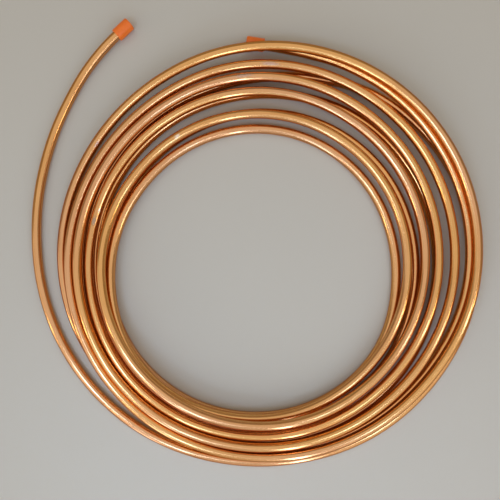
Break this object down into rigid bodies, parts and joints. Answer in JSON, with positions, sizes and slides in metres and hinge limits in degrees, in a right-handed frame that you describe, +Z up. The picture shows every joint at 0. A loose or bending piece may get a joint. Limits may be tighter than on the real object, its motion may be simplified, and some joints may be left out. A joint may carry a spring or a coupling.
{
  "type": "copper tube coil",
  "caption": "Coil of soft drawn copper tube lying flat, with a free tail at its outer edge and a push-on plastic cap over each end.",
  "frame": {"origin": "centre of the coil's eye, on the floor that the coil lies on", "axes": "+Z up, out of the coil's eye. +X and +Y point to the side where the turns fan out, and the free tail stands off between -X and +Y."},
  "size_m": [0.6214, 0.6197, 0.0406],
  "materials": {
    "copper": "bright drawn copper",
    "cap_plastic": "soft moulded plastic, slightly glossy"
  },
  "bodies": {
    "root": {"copper_tube": "copper", "tail_cap": "cap_plastic", "end_cap": "cap_plastic"}
  },
  "joints": []
}
